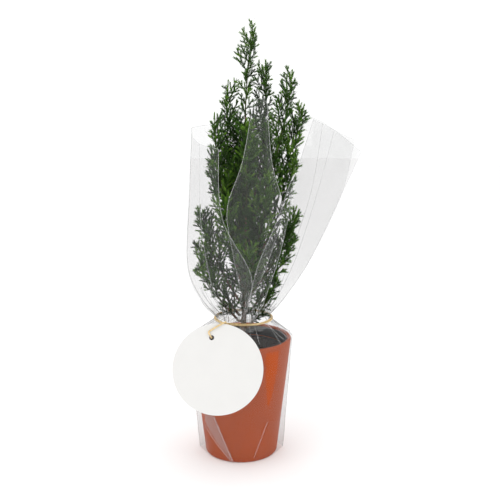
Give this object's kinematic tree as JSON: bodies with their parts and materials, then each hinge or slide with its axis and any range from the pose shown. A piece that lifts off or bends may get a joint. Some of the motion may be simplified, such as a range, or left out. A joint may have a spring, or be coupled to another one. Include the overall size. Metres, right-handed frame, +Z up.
{
  "type": "potted columnar conifer in a clear gift wrap",
  "caption": "Young feathery upright conifer in a plain tapered pot, in a clear film bag tied at the neck, with a blank round tag.",
  "frame": {"origin": "centre of the flat underside of the pot", "axes": "+Z up along the pot's axis; the front, with the tag, faces -Y, and +X is to the right seen from the front"},
  "size_m": [0.1728, 0.1439, 0.3979],
  "materials": {
    "pot": "smooth, satin",
    "soil": "crumbly, matt",
    "bark": "rough, matt",
    "foliage": "satin",
    "film": "clear, glossy",
    "raffia": "fibrous, matt",
    "tag_card": "smooth, matt"
  },
  "bodies": {
    "root": {"bough_back_foot": "bark", "bough_back_middle": "bark", "bough_back_top": "bark", "bough_crest": "bark", "bough_front_foot": "bark", "bough_front_left": "bark", "bough_front_middle": "bark", "bough_front_top": "bark", "bough_left_foot": "bark", "bough_left_shoulder": "bark", "bough_left_side": "bark", "bough_left_skirt": "bark", "bough_left_top": "bark", "bough_left_waist": "bark", "bough_right_foot": "bark", "bough_right_shoulder": "bark", "bough_right_side": "bark", "bough_right_skirt": "bark", "bough_right_top": "bark", "bough_right_waist": "bark", "film_back": "film", "film_left": "film", "film_shoulder": "film", "film_sleeve": "film", "film_strip": "film", "film_veil": "film", "film_wing": "film", "foliage_back_foot": "foliage", "foliage_back_middle": "foliage", "foliage_back_top": "foliage", "foliage_crest": "foliage", "foliage_front_foot": "foliage", "foliage_front_left": "foliage", "foliage_front_middle": "foliage", "foliage_front_top": "foliage", "foliage_leader": "foliage", "foliage_left_foot": "foliage", "foliage_left_shoulder": "foliage", "foliage_left_side": "foliage", "foliage_left_skirt": "foliage", "foliage_left_top": "foliage", "foliage_left_waist": "foliage", "foliage_right_foot": "foliage", "foliage_right_shoulder": "foliage", "foliage_right_side": "foliage", "foliage_right_skirt": "foliage", "foliage_right_top": "foliage", "foliage_right_waist": "foliage", "pot": "pot", "soil": "soil", "tag": "tag_card", "tag_string": "raffia", "tie_knot": "raffia", "tie_ring": "raffia", "trunk": "bark"}
  },
  "joints": []
}
